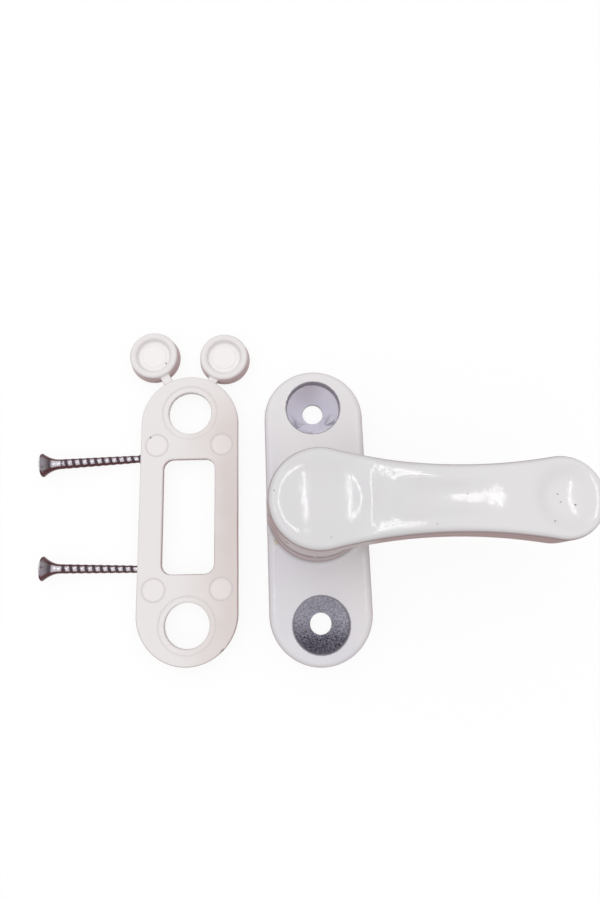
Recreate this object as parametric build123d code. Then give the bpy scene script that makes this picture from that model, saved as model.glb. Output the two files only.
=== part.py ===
from build123d import *
from math import atan, cos, degrees, radians, sin, sqrt
import os

# Window safety lock: a cast base with a tall boss, a lever that swings on top of it,
# a moulded spacer with two screw caps still on their sprues, and two drill-point screws.
# Millimetres. The origin is where the pivot axis meets the back of the base plate,
# +Y runs along the plate, +X towards the lever and +Z out of the window frame.

# Base plate casting
plate_length = 75.0
plate_width = 25.6
plate_height = 8.0
plate_edge_radius = 1.5
plate_wall = 1.5
plate_skin = 2.2
hole_spacing = 54.8
hole_radius = 2.7
recess_radius = 6.9
recess_depth = 2.5
countersink_angle = 45.0
pillar_wall = 1.9
back_rib = 1.4

# Boss on the base plate
boss_top = 20.6
boss_foot_radius = 12.2
boss_head_radius = 12.0
boss_foot_fillet = 1.4
boss_wall = 3.2
boss_web = 6.3

# Thrust washer, let into the top of the boss
thrust_washer_outer = 9.5
thrust_washer_inner = 4.3
thrust_washer_thickness = 1.2
thrust_washer_proud = 0.4
thrust_washer_play = 0.05

# Lever casting
lever_top = 35.0
lever_rest_angle = -1.85
lever_head_radius = 11.2
lever_skirt_radius = 11.7
lever_tip_radius = 9.1
lever_reach = 51.9
lever_side_radius = 116.0
lever_edge_radius = 1.5
lever_end_height = 9.2
lever_slope_start = 12.0
lever_wall = 2.0
lever_ceiling = 3.4
lever_rib = 1.4
lever_rib_relief = 1.2
lever_cross_ribs = 2
hub_wall = 2.5
head_core_outer = 9.0
head_ceiling = 3.5
head_dish_radius = 8.8
head_dish_depth = 1.0
thumb_dish_radius = 6.5
thumb_dish_depth = 1.5
thumb_dish_offset = 0.6
scoop_start = 12.2
scoop_end = 42.5
scoop_depth = 1.4
scoop_rim_margin = 2.1
scoop_side_run = 2.2

# Pivot stack: the lever's stem, two disc springs, the retaining washer and its screw
stem_radius = 4.0
stem_play = 0.05
disc_spring_outer = 8.0
disc_spring_thickness = 0.7
disc_spring_cone = 0.45
disc_spring_bore_play = 0.15
retaining_washer_outer = 7.5
retaining_washer_thickness = 1.5
pivot_screw_radius = 2.5
pivot_screw_play = 0.02
pivot_screw_length = 10.0
pivot_screw_head_radius = 4.75
pivot_screw_head_height = 3.0
pivot_screw_hole_spare = 1.0
pivot_screw_cross_width = 1.1
pivot_screw_cross_depth = 1.6
pivot_screw_cross_span = 4.6

# Spacer moulding, lying upside down on its pegs
spacer_length = 74.6
spacer_width = 25.5
spacer_thickness = 2.0
spacer_x = -33.0
spacer_y = 0.8
spacer_turn = -0.8
spacer_hole_radius = 5.65
spacer_ledge_radius = 7.15
spacer_ledge_depth = 0.35
window_length = 29.6
window_width = 13.4
window_corner = 2.6
peg_radius = 2.85
peg_height = 2.5
peg_half_pitch_x = 8.5
peg_half_pitch_y = 18.6
peg_chamfer = 0.4

# Screw caps, joined to the spacer by their sprues
cap_base_radius = 6.85
cap_rim_radius = 6.35
cap_height = 3.9
cap_base = 1.0
cap_edge_radius = 0.6
cap_cup_radius = 4.2
cap_cup_depth = 2.2
cap_disc_radius = 2.85
cap_disc_height = 0.5
cap_places = [(-10.0, 43.6), (9.0, 42.8)]
sprue_width = 2.6
sprue_height = 1.4
sprue_sink = 0.6

# Spare length of a cutting body past the face that it opens
cut_past = 1.0

# Fixing screws, lying on their heads' rims and the ends of their threads
screw_length = 28.0
screw_head_radius = 3.1
screw_rim = 0.5
screw_thread_radius = 1.4
screw_bugle_length = 5.0
screw_point_length = 3.5
screw_neck_radius = 0.95
screw_neck_length = 0.8
screw_point_radius = 1.15
screw_cross_width = 0.9
screw_cross_span = 3.6
screw_cross_depth = 1.6
screw_heads = [(-71.7, 15.5), (-70.5, -11.3)]
screw_turns = [2.7, -2.1]

CENTRE_MIN = (Align.CENTER, Align.CENTER, Align.MIN)
CENTRE_MAX = (Align.CENTER, Align.CENTER, Align.MAX)


def disc(radius, height, z=0.0, x=0.0, y=0.0):
    return Pos(x, y, z) * Cylinder(radius, height, align=CENTRE_MIN)


def stadium(length, width, corner_inset=0.0):
    return SlotOverall(length - 2 * corner_inset, width - 2 * corner_inset, rotation=90)


def hole_places():
    return [(0.0, side * hole_spacing / 2) for side in (1, -1)]


# Levels inside the boss, from the thrust washer down to the screw's head
washer_seat = boss_top + thrust_washer_proud - thrust_washer_thickness
lever_bottom = boss_top + thrust_washer_proud
web_bottom = washer_seat - boss_web
spring_height = disc_spring_thickness + disc_spring_cone
stem_end = web_bottom - 2 * spring_height
pocket_radius = boss_head_radius - boss_wall


def screw_well(x, y):
    cone_depth = (recess_radius - hole_radius) / sin(radians(countersink_angle))
    cone_depth = cone_depth * cos(radians(countersink_angle))
    floor = plate_height - recess_depth
    recess = disc(recess_radius, recess_depth, floor, x, y)
    cone = Pos(x, y, floor) * Cone(hole_radius, recess_radius, cone_depth, align=CENTRE_MAX)
    return recess + cone + disc(hole_radius, plate_height, 0, x, y)


def boss_body():
    flare_z = plate_height + boss_foot_fillet
    with BuildPart() as turned:
        with BuildSketch(Plane.XZ):
            with BuildLine():
                foot = boss_foot_radius + boss_foot_fillet
                Polyline((0, 0), (foot, 0), (foot, plate_height))
                RadiusArc((foot, plate_height), (boss_foot_radius, flare_z), boss_foot_fillet)
                Polyline((boss_foot_radius, flare_z), (boss_head_radius, boss_top), (0, boss_top), (0, 0))
            make_face()
        revolve(axis=Axis.Z)
    return turned.part & extrude(stadium(plate_length, plate_width), boss_top)


def back_hollow():
    depth = plate_height - plate_skin
    hollow = extrude(stadium(plate_length, plate_width, plate_wall), depth)
    for x, y in hole_places():
        hollow -= disc(recess_radius + pillar_wall, depth, 0, x, y)
    hollow -= disc(pocket_radius + boss_wall, depth)
    rib_length = plate_length - 2 * plate_wall
    hollow -= Box(back_rib, rib_length, depth, align=CENTRE_MIN)
    return hollow


def base_plate():
    body = extrude(stadium(plate_length, plate_width), plate_height)
    rim = body.edges().group_by(Axis.Z)[-1]
    body = fillet(rim, plate_edge_radius)
    body += boss_body()
    body -= back_hollow()
    body -= disc(pocket_radius, web_bottom)
    body -= disc(stem_radius + stem_play, boss_top)
    body -= disc(thrust_washer_outer + thrust_washer_play, boss_top, washer_seat)
    for x, y in hole_places():
        body -= screw_well(x, y)
    return body


def ring(outer, inner, height, z):
    return disc(outer, height, z) - disc(inner, height, z)


def thrust_washer():
    return ring(thrust_washer_outer, thrust_washer_inner, thrust_washer_thickness, washer_seat)


def lever_outline():
    to_head = lever_side_radius + lever_head_radius
    to_tip = lever_side_radius + lever_tip_radius
    side_x = (lever_reach**2 + to_head**2 - to_tip**2) / (2 * lever_reach)
    side_y = sqrt(to_head**2 - side_x**2)
    head_x = side_x * lever_head_radius / to_head
    head_y = side_y * lever_head_radius / to_head
    tip_x = lever_reach + (side_x - lever_reach) * lever_tip_radius / to_tip
    tip_y = side_y * lever_tip_radius / to_tip
    with BuildSketch() as outline:
        with BuildLine():
            ThreePointArc((head_x, head_y), (-lever_head_radius, 0), (head_x, -head_y))
            ThreePointArc((tip_x, tip_y), (lever_reach + lever_tip_radius, 0), (tip_x, -tip_y))
            for side in (1, -1):
                waist = (side_x, side * (side_y - lever_side_radius))
                ThreePointArc((head_x, side * head_y), waist, (tip_x, side * tip_y))
        make_face()
    return outline.sketch


def side_profile(points, width):
    with BuildPart() as profile:
        with BuildSketch(Plane.XZ):
            with BuildLine():
                Polyline(*points, close=True)
            make_face()
        extrude(amount=width / 2, both=True)
    return profile.part


def dish(radius, depth, x):
    ball = (radius**2 + depth**2) / (2 * depth)
    return Pos(x, 0, lever_top - depth + ball) * Sphere(ball)


def under_arm():
    end = lever_reach + lever_tip_radius + cut_past
    low = lever_bottom - cut_past
    points = [(lever_slope_start, low), (end, low), (end, lever_top - lever_end_height)]
    points.append((lever_slope_start, lever_bottom))
    return side_profile(points, 4 * lever_tip_radius)


def arm_hollow():
    inner = offset(lever_outline(), -lever_wall)
    start = lever_head_radius + lever_wall
    ceiling = lever_top - lever_ceiling
    end = lever_reach + lever_tip_radius
    length = end - start
    wide = 4 * lever_tip_radius
    hollow = extrude(inner, ceiling)
    hollow &= Pos(start, 0, 0) * Box(length, wide, ceiling, align=(Align.MIN, Align.CENTER, Align.MIN))
    ribs = Pos(start + length / 2, 0, 0) * Box(length, lever_rib, lever_top, align=CENTRE_MIN)
    for n in range(lever_cross_ribs):
        x = start + length * (n + 1) / (lever_cross_ribs + 1)
        ribs += Pos(x, 0, 0) * Box(lever_rib, wide, lever_top, align=CENTRE_MIN)
    foot = lever_bottom + lever_rib_relief
    slope = (lever_top - lever_end_height - lever_bottom) / (end + cut_past - lever_slope_start)
    points = [(start - cut_past, 0), (end, 0), (end, foot + slope * (end - start)), (start - cut_past, foot)]
    return hollow - (ribs - side_profile(points, wide))


def arm_scoop():
    low = lever_top - scoop_depth
    over = scoop_depth * scoop_rim_margin / scoop_side_run / 2
    foot = offset(lever_outline(), -scoop_rim_margin - scoop_side_run)
    mouth = offset(lever_outline(), over * scoop_side_run / scoop_depth - scoop_rim_margin)
    trough = loft([Pos(0, 0, low) * foot, Pos(0, 0, lever_top + over) * mouth])
    high = lever_top + cut_past
    points = [(scoop_start, high), (scoop_start, low), (scoop_end, lever_top), (scoop_end, high)]
    return trough & side_profile(points, 4 * lever_tip_radius)


def lever():
    body = Pos(0, 0, lever_bottom) * extrude(lever_outline(), lever_top - lever_bottom)
    body -= under_arm()
    body = fillet(body.edges().group_by(Axis.Z)[-1], lever_edge_radius)
    skirt_height = lever_top - lever_edge_radius - lever_bottom
    skirt = Cone(lever_skirt_radius, lever_head_radius, skirt_height, align=CENTRE_MIN)
    body += Pos(0, 0, lever_bottom) * skirt
    body -= dish(head_dish_radius, head_dish_depth, 0)
    body -= dish(thumb_dish_radius, thumb_dish_depth, lever_reach + thumb_dish_offset)
    body -= arm_scoop()
    body -= arm_hollow()
    core_height = lever_top - head_ceiling - lever_bottom
    body -= ring(head_core_outer, stem_radius + hub_wall, core_height, lever_bottom)
    body += disc(stem_radius, lever_bottom + cut_past - stem_end, stem_end)
    hole = pivot_screw_length - retaining_washer_thickness + pivot_screw_hole_spare
    body -= disc(pivot_screw_radius + pivot_screw_play, hole, stem_end)
    return Rot(0, 0, lever_rest_angle) * body


def disc_spring(z, flip):
    inner = stem_radius + disc_spring_bore_play
    high = disc_spring_cone
    with BuildPart() as spring:
        with BuildSketch(Plane.XZ):
            with BuildLine():
                Polyline((inner, high), (disc_spring_outer, 0), (disc_spring_outer, disc_spring_thickness),
                         (inner, high + disc_spring_thickness), close=True)
            make_face()
        revolve(axis=Axis.Z)
    body = spring.part
    if flip:
        body = Pos(0, 0, spring_height) * Rot(180, 0, 0) * body
    return Pos(0, 0, z) * body


def retaining_washer():
    inner = pivot_screw_radius + pivot_screw_play
    z = stem_end - retaining_washer_thickness
    return ring(retaining_washer_outer, inner, retaining_washer_thickness, z)


def pivot_screw():
    seat = stem_end - retaining_washer_thickness
    body = disc(pivot_screw_radius, pivot_screw_length, seat)
    head = disc(pivot_screw_head_radius, pivot_screw_head_height, seat - pivot_screw_head_height)
    head = chamfer(head.edges().group_by(Axis.Z)[0], pivot_screw_head_height / 3)
    low = seat - pivot_screw_head_height
    for turn in (0, 90):
        slot = Box(pivot_screw_cross_span, pivot_screw_cross_width, pivot_screw_cross_depth, align=CENTRE_MIN)
        head -= Pos(0, 0, low) * Rot(0, 0, turn) * slot
    return body + head


def spacer_holes_and_window():
    top = peg_height + spacer_thickness
    cut = Pos(0, 0, peg_height) * extrude(RectangleRounded(window_width, window_length, window_corner),
                                          spacer_thickness)
    for x, y in hole_places():
        cut += disc(spacer_hole_radius, spacer_thickness, peg_height, x, y)
        cut += disc(spacer_ledge_radius, spacer_ledge_depth, top - spacer_ledge_depth, x, y)
    return cut


def peg(x, y):
    body = disc(peg_radius, peg_height, 0, x, y)
    return chamfer(body.edges().group_by(Axis.Z)[0], peg_chamfer)


def screw_cap(x, y):
    rim = cap_base + cap_height
    body = Pos(0, 0, cap_base) * Cone(cap_base_radius, cap_rim_radius, cap_height, align=CENTRE_MIN)
    body = fillet(body.edges(), cap_edge_radius)
    body -= disc(cap_cup_radius, cap_cup_depth, rim - cap_cup_depth)
    body += disc(cap_disc_radius, cap_disc_height, rim - cap_cup_depth)
    return Pos(x, y, 0) * body


def sprue(cap_x, cap_y):
    end_y = spacer_length / 2 - spacer_width / 2
    run_x = cap_x
    run_y = cap_y - end_y
    span = sqrt(run_x**2 + run_y**2)
    start = spacer_width / 2 - sprue_sink
    length = span - cap_rim_radius + sprue_sink - start
    bar = Pos(0, start, 0) * Box(sprue_width, length, sprue_height, align=(Align.CENTER, Align.MIN, Align.MIN))
    return Pos(0, end_y, peg_height) * Rot(0, 0, -degrees(atan(run_x / run_y))) * bar


def spacer():
    body = Pos(0, 0, peg_height) * extrude(stadium(spacer_length, spacer_width), spacer_thickness)
    for x, y in cap_places:
        body += sprue(x, y)
        body += screw_cap(x, y)
    body -= spacer_holes_and_window()
    for x in (peg_half_pitch_x, -peg_half_pitch_x):
        for y in (peg_half_pitch_y, -peg_half_pitch_y):
            body += peg(x, y)
    return Pos(spacer_x, spacer_y, 0) * Rot(0, 0, spacer_turn) * body


def screw_turned():
    thread_end = screw_length - screw_point_length
    neck_end = thread_end + screw_neck_length
    shoulder = screw_thread_radius - screw_neck_radius
    with BuildPart() as turned:
        with BuildSketch(Plane.XY):
            with BuildLine():
                Polyline((0, 0), (0, screw_head_radius), (screw_rim, screw_head_radius))
                TangentArc((screw_bugle_length, screw_thread_radius), (screw_rim, screw_head_radius),
                           tangent=(-1, 0))
                Polyline((screw_bugle_length, screw_thread_radius), (thread_end - shoulder, screw_thread_radius),
                         (thread_end, screw_neck_radius), (neck_end, screw_neck_radius),
                         (neck_end, screw_point_radius), (screw_length - screw_point_radius, screw_point_radius),
                         (screw_length, 0), (0, 0))
            make_face()
        revolve(axis=Axis.X)
    return turned.part


def fixing_screw(place, turn):
    body = screw_turned()
    for spin in (0, 90):
        arm = Box(screw_cross_depth, screw_cross_span, screw_cross_width,
                  align=(Align.MIN, Align.CENTER, Align.CENTER))
        body -= Rot(spin, 0, 0) * arm
    thread_end = screw_length - screw_point_length - (screw_thread_radius - screw_neck_radius)
    lean = atan((screw_head_radius - screw_thread_radius) / (thread_end - screw_rim))
    height = screw_rim * sin(lean) + screw_head_radius * cos(lean)
    x, y = place
    return Pos(x, y, height) * Rot(0, 0, turn) * Rot(0, degrees(lean), 0) * body


def make_parts():
    parts = {
        "base_plate": base_plate(),
        "lever": lever(),
        "thrust_washer": thrust_washer(),
        "disc_spring_upper": disc_spring(web_bottom - spring_height, False),
        "disc_spring_lower": disc_spring(web_bottom - 2 * spring_height, True),
        "retaining_washer": retaining_washer(),
        "pivot_screw": pivot_screw(),
        "spacer": spacer(),
    }
    for number, (place, turn) in enumerate(zip(screw_heads, screw_turns), start=1):
        parts[f"fixing_screw_{number}"] = fixing_screw(place, turn)
    return parts


os.makedirs("parts", exist_ok=True)
for name, solid in make_parts().items():
    export_step(solid, f"parts/{name}.step")
    print(name, round(solid.volume, 1))
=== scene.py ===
import bpy
import math
import numpy as np
from mathutils import Euler, Matrix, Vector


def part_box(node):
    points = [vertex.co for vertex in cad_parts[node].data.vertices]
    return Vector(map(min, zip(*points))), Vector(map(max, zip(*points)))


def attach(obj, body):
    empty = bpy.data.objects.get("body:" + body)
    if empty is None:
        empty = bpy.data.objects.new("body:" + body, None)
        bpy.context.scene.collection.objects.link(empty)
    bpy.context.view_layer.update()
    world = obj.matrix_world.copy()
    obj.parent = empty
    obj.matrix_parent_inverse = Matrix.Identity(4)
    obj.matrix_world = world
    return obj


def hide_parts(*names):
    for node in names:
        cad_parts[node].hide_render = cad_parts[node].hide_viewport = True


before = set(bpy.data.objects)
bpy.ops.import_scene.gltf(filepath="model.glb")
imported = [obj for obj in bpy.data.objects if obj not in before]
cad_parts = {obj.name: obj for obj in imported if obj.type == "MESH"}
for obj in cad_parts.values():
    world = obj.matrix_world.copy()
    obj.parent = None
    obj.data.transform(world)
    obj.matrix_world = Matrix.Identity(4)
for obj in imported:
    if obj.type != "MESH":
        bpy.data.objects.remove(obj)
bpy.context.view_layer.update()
mm = 0.001  # one millimetre in Blender's metres
print("frame loaded:", len(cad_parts), "nodes")


# Camera: held over the lock, tilted a little towards the top of the picture
cameraSettings = {
    "place": (-4.74, -19.31, 172.78),  # mm, above the pivot
    "tilt": 12.18,  # degrees off straight down
    "turn": -2.01,
    "lens": 26.27,  # mm on a 36 mm sensor
    "shiftX": -0.00109,
}


def addCamera(settings):
    data = bpy.data.cameras.new("camera")
    data.lens = settings["lens"]
    data.shift_x = settings["shiftX"]
    data.clip_start = 5 * mm
    camera = bpy.data.objects.new("camera", data)
    bpy.context.scene.collection.objects.link(camera)
    camera.location = [value * mm for value in settings["place"]]
    camera.rotation_euler = (math.radians(settings["tilt"]), 0, math.radians(settings["turn"]))
    bpy.context.scene.camera = camera


addCamera(cameraSettings)
bpy.context.scene.view_settings.view_transform = "Standard"
print("camera placed")


# Materials: helpers
def hexToLinear(code):
    shades = [int(code[at:at + 2], 16) / 255 for at in (1, 3, 5)]
    return [v / 12.92 if v <= 0.04045 else ((v + 0.055) / 1.055) ** 2.4 for v in shades] + [1.0]


def newMaterial(name):
    material = bpy.data.materials.new(name)
    material.use_nodes = True
    material.node_tree.nodes.clear()
    return material


def addNode(material, kind, inputs, **settings):
    node = material.node_tree.nodes.new("ShaderNode" + kind)
    for key, value in settings.items():
        setattr(node, key, value)
    for key, value in inputs.items():
        if isinstance(value, bpy.types.NodeSocket):
            material.node_tree.links.new(value, node.inputs[key])
        else:
            node.inputs[key].default_value = value
    return node


def calc(material, operation, *values):
    return addNode(material, "Math", dict(enumerate(values)), operation=operation).outputs[0]


def gap(material, value, level):  # how far a value is from a level, either way
    return calc(material, "ABSOLUTE", calc(material, "SUBTRACT", value, level))


def vectorMath(material, operation, *values):
    return addNode(material, "VectorMath", dict(enumerate(values)), operation=operation)


def split(material, vector):
    return list(addNode(material, "SeparateXYZ", {0: vector}).outputs)


def ramp(material, value, start, end, low=0.0, high=1.0, curve="LINEAR"):
    limits = {"From Min": start, "From Max": end, "To Min": low, "To Max": high}
    return addNode(material, "MapRange", {"Value": value, **limits}, interpolation_type=curve).outputs[0]


def noise(material, place, size, detail=2.0, roughness=0.5, distortion=0.0):  # size and place in mm
    return addNode(material, "TexNoise", {"Vector": place, "Scale": 1 / size, "Detail": detail,
                                          "Roughness": roughness, "Distortion": distortion}).outputs["Fac"]


def blend(material, share, *colors):
    first, second = [hexToLinear(color) if isinstance(color, str) else color for color in colors]
    return addNode(material, "Mix", {"Factor": share, "A": first, "B": second}, data_type="RGBA").outputs["Result"]


def bumped(material, height, distance, normal=None, strength=1.0):
    bump = addNode(material, "Bump", {"Height": height, "Strength": strength, "Distance": distance * mm})
    if normal:
        material.node_tree.links.new(normal, bump.inputs["Normal"])
    return bump.outputs[0]


def newSurface(name):  # a new material, the place on it in mm and the way it faces
    material = newMaterial(name)
    where = addNode(material, "TexCoord", {})
    place = vectorMath(material, "MULTIPLY", where.outputs["Object"], (1 / mm, 1 / mm, 1 / mm))
    return material, place.outputs["Vector"], where.outputs["Normal"]


def finishSurface(material, inputs):
    shader = addNode(material, "BsdfPrincipled", inputs)
    addNode(material, "OutputMaterial", {"Surface": shader.outputs[0]})
    return material


# Light: two long lamps beside the camera, a soft one from the upper left, and a pale surround
lightSettings = {
    "lampHeight": 500,  # mm
    "lampLength": 214,
    "lampWidth": 8,
    "lampX": (-100, 89),
    "lampY": 59,
    "lampPower": 0.095,  # watts
    "endLampY": (-93, 208),  # small dim lamps past the ends of the long ones
    "endLampSize": 16,
    "endLampPower": 0.004,
    "fillPlace": (-420, 520, 620),
    "fillSize": 420,
    "fillPower": 0.35,
    "skyTop": 1.08,  # strength of the surround overhead, and low down
    "skyLow": 0.1,
    "skySpan": (0.1, 0.7),  # how steeply one looks up at the end of the low part and the start of the high one
    "floorSize": 2400,
    "floorColor": "#FFFFFF",
    "bounceColor": "#8E6762",  # tint of the light that comes back up from the floor
    "floorGlow": 0.9,  # share of plain white that the camera sees over the floor's own light
}


def addLamp(name, place, size, power):  # an area lamp faces straight down
    data = bpy.data.lights.new(name, "AREA")
    data.shape = "RECTANGLE"
    data.size = size[0] * mm
    data.size_y = size[1] * mm
    data.energy = power
    lamp = bpy.data.objects.new(name, data)
    bpy.context.scene.collection.objects.link(lamp)
    lamp.location = [value * mm for value in place]
    return lamp


def seenRays(material):
    rays = addNode(material, "LightPath", {}).outputs
    seen = calc(material, "MAXIMUM", rays["Is Camera Ray"], rays["Is Glossy Ray"])
    return calc(material, "MAXIMUM", seen, rays["Is Transmission Ray"])


def addSurround(settings):
    world = bpy.data.worlds.new("surround")
    bpy.context.scene.world = world
    world.use_nodes = True
    world.node_tree.nodes.clear()
    up = split(world, addNode(world, "TexCoord", {}).outputs["Generated"])[2]
    sky = ramp(world, up, *settings["skySpan"], settings["skyLow"], settings["skyTop"])
    strength = ramp(world, seenRays(world), 0, 1, sky, 1.0)
    light = addNode(world, "Background", {"Color": (1, 1, 1, 1), "Strength": strength})
    addNode(world, "OutputWorld", {"Surface": light.outputs[0]})


def addFloor(settings):
    bpy.ops.mesh.primitive_plane_add(size=settings["floorSize"] * mm)
    floor = bpy.context.active_object
    floor.name = "floor"
    material = newMaterial("paper backdrop")
    seen = seenRays(material)
    tint = blend(material, seen, settings["bounceColor"], settings["floorColor"])
    paper = addNode(material, "BsdfDiffuse", {"Color": tint})
    white = addNode(material, "Emission", {"Color": (1, 1, 1, 1), "Strength": 1.0})
    share = calc(material, "MULTIPLY", seen, settings["floorGlow"])
    mix = addNode(material, "MixShader", {0: share, 1: paper.outputs[0], 2: white.outputs[0]})
    addNode(material, "OutputMaterial", {"Surface": mix.outputs[0]})
    floor.data.materials.append(material)


def addLight(settings):
    for lampX in settings["lampX"]:
        addLamp("long lamp", (lampX, settings["lampY"], settings["lampHeight"]),
                (settings["lampWidth"], settings["lampLength"]), settings["lampPower"])
        for lampY in settings["endLampY"]:
            addLamp("end lamp", (lampX, lampY, settings["lampHeight"]),
                    (settings["endLampSize"], settings["endLampSize"]), settings["endLampPower"])
    fill = addLamp("soft lamp", settings["fillPlace"], (settings["fillSize"], settings["fillSize"]),
                   settings["fillPower"])
    fill.rotation_euler = (-fill.location).to_track_quat("-Z", "Y").to_euler()


addSurround(lightSettings)
addFloor(lightSettings)
addLight(lightSettings)
print("light and floor set")


# Modelling: helpers. A piece is a merged copy of its solid, remeshed, and its outer points are
# then brought onto a drawn skin, so that the gloss of the enamel shows no facets.
def selectOnly(piece):
    bpy.ops.object.select_all(action="DESELECT")
    piece.select_set(True)
    bpy.context.view_layer.objects.active = piece


def applyModifier(piece, kind, **settings):
    selectOnly(piece)
    modifier = piece.modifiers.new(kind.lower(), kind)
    for key, value in settings.items():
        setattr(modifier, key, value)
    bpy.ops.object.modifier_apply(modifier=modifier.name)


def copySolid(node, name):
    piece = bpy.data.objects.new(name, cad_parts[node].data.copy())
    bpy.context.scene.collection.objects.link(piece)
    piece.data.materials.clear()
    selectOnly(piece)
    bpy.ops.object.mode_set(mode="EDIT")
    bpy.ops.mesh.select_all(action="SELECT")
    bpy.ops.mesh.remove_doubles(threshold=0.002 * mm)
    bpy.ops.object.mode_set(mode="OBJECT")
    return piece


def readPoints(piece):
    values = np.empty(len(piece.data.vertices) * 3)
    piece.data.vertices.foreach_get("co", values)
    return values.reshape(-1, 3) / mm


def writePoints(piece, points):
    piece.data.vertices.foreach_set("co", (points * mm).ravel())
    piece.data.update()


def readNormals(piece):
    values = np.empty(len(piece.data.vertices) * 3)
    piece.data.vertex_normals.foreach_get("vector", values)
    return values.reshape(-1, 3)


def skinSlope(skin, points, value):
    nudge = 0.004  # mm
    steps = [(skin(points + step) - value) / nudge for step in np.eye(3) * nudge]
    return np.stack(steps, axis=1)


def settle(piece, skin, reach, passes=4):
    points = readPoints(piece)
    value = skin(points)
    close = np.abs(value) < reach
    slope = skinSlope(skin, points[close], value[close])
    length = np.linalg.norm(slope, axis=1)
    facing = np.sum(slope * readNormals(piece)[close], axis=1) > 0.35 * length
    moved = np.flatnonzero(close)[facing]
    for _ in range(passes):
        part = points[moved]
        value = skin(part)
        slope = skinSlope(skin, part, value)
        square = np.maximum(np.sum(slope * slope, axis=1), 0.05)
        points[moved] = part - (value / square)[:, None] * slope
    writePoints(piece, points)


def ownFrame(points, place, turn):  # a point as the piece sees it before it is turned and placed
    x, y, z = (points - np.array(place)).T
    c, s = math.cos(math.radians(turn)), math.sin(math.radians(turn))
    return x * c + y * s, y * c - x * s, z


def softMin(a, b, blend):
    share = np.maximum(blend - np.abs(a - b), 0) / blend
    return np.minimum(a, b) - share * share * blend / 4


def softMax(a, b, blend):
    return -softMin(-a, -b, blend)


def roundedMeet(a, b, radius):  # what lies inside both, the edge between them rounded
    past = np.hypot(np.maximum(a + radius, 0), np.maximum(b + radius, 0))
    return np.minimum(np.maximum(a, b), -radius) + past


def filletedJoin(a, b, radius):  # what lies inside either, the corner between them filleted
    return -roundedMeet(-a, -b, radius)


def smooth(x, low, high):
    share = np.clip((x - low) / (high - low), 0, 1)
    return share * share * (3 - 2 * share)


def slotDistance(x, y, length, width):
    beyond = np.maximum(np.abs(y) - (length - width) / 2, 0)
    return np.hypot(x, beyond) - width / 2


def skinPiece(piece, skin, shape, smoothing, *reaches):  # remeshed and settled once for each reach
    for reach in reaches:
        applyModifier(piece, "REMESH", mode="VOXEL", voxel_size=shape["voxel"] * mm, use_smooth_shade=True)
        applyModifier(piece, "SMOOTH", factor=0.5, iterations=smoothing)
        settle(piece, skin, reach)
    return piece


def finishPiece(piece, body, slot, material, *nodes):
    piece.data.materials.append(material)
    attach(piece, body)
    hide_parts(*nodes)


levels = {  # heights in mm
    "leverBottom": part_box("thrust_washer")[1][2] / mm,  # the lever's head runs on the washer
    "leverTop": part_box("lever")[1][2] / mm,
    "bossTop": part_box("base_plate")[1][2] / mm,
    "plateTop": 8.0,
}


# Lever: a die-cast hollow arm on a round head, with a bowl in the head, a scoop along the arm
# and a thumb hollow at the tip
leverSettings = {
    "turn": -1.85,  # degrees at rest
    "headRadius": 11.2,  # mm
    "skirtRadius": 11.7,
    "skirtBlend": 0.1,
    "tipRadius": 9.1,
    "reach": 51.9,
    "sideRadius": 116.0,
    "edge": 1.5,
    "slopeStart": 12.0,
    "endHeight": 9.2,
    "slopeRun": 49.7,
    "footEdge": 0.45,
    "bowlPlace": 0.35,
    "bowlRadius": 9.15,
    "bowlDepth": 1.08,
    "bowlLip": 0.35,
    "landEnd": 11.35,  # where the flat beside the bowl starts to roll down to the scoop
    "landRoll": (13.0, 10.5),  # mean radius of that roll and how much it varies
    "landWave": (1.1, -2.3),  # of that change across the lever: turn per mm, and phase
    "landDrop": 0.05,
    "landBend": 0.04,
    "landWide": (5.8, 7.2),
    "scoopStart": 11.95,
    "scoopStep": 0.3,
    "stepBend": 0.1,
    "scoopWall": 0.3,
    "scoopBend": 0.6,
    "scoopSideBend": 0.3,
    "scoopLip": (0.4, 0.2),  # rounding of its rim, at the start and at the end
    "lipSpan": (29.0, 36.0),
    "scoopCorner": (12.5, 6.45),  # where the scoop's side edge turns outwards to the rim
    "scoopWaist": (16.6, 5.35),
    "scoopFlare": 0.83,
    "scoopSpread": (24.6, 0.05),  # from here on the edge spreads, and how steeply
    "railRoll": 9.0,
    "railSlope": 0.16,
    "railStart": (9.0, 12.0),
    "railEnd": (36.0, 46.0),
    "scoopSlopes": ((12.0, -0.12), (17.0, -0.12), (24.0, -0.005), (28.7, 0.052), (41.0, 0.112)),
    "hollow": ((14.0, 0.02), (29.0, 0.14), (38.0, 0.042)),  # along the floor, and its bend across there
    "thumbPlace": 52.5,
    "thumbRadius": (6.9, 6.9),
    "thumbDepth": 1.5,
    "thumbTilt": 0.131,
    "thumbCurl": 0.0019,
    "thumbLong": 28.0,
    "thumbWide": 60.0,
    "thumbWall": 0.62,
    "thumbBend": 1.0,
    "thumbLip": 1.1,
    "voxel": 0.305,
}


def leverOutline(x, y, shape):
    y = np.abs(y)
    toHead = shape["sideRadius"] + shape["headRadius"]
    toTip = shape["sideRadius"] + shape["tipRadius"]
    reach = shape["reach"]
    sideX = (reach ** 2 + toHead ** 2 - toTip ** 2) / (2 * reach)
    sideY = math.sqrt(toHead ** 2 - sideX ** 2)
    head = np.hypot(x, y) - shape["headRadius"]
    tip = np.hypot(x - reach, y) - shape["tipRadius"]
    side = shape["sideRadius"] - np.hypot(x - sideX, y - sideY)
    pastHead = -sideX * (y - sideY) + sideY * (x - sideX) < 0
    pastTip = (reach - sideX) * (y - sideY) + sideY * (x - sideX) > 0
    return np.where(pastHead, head, np.where(pastTip, tip, side))


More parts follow.
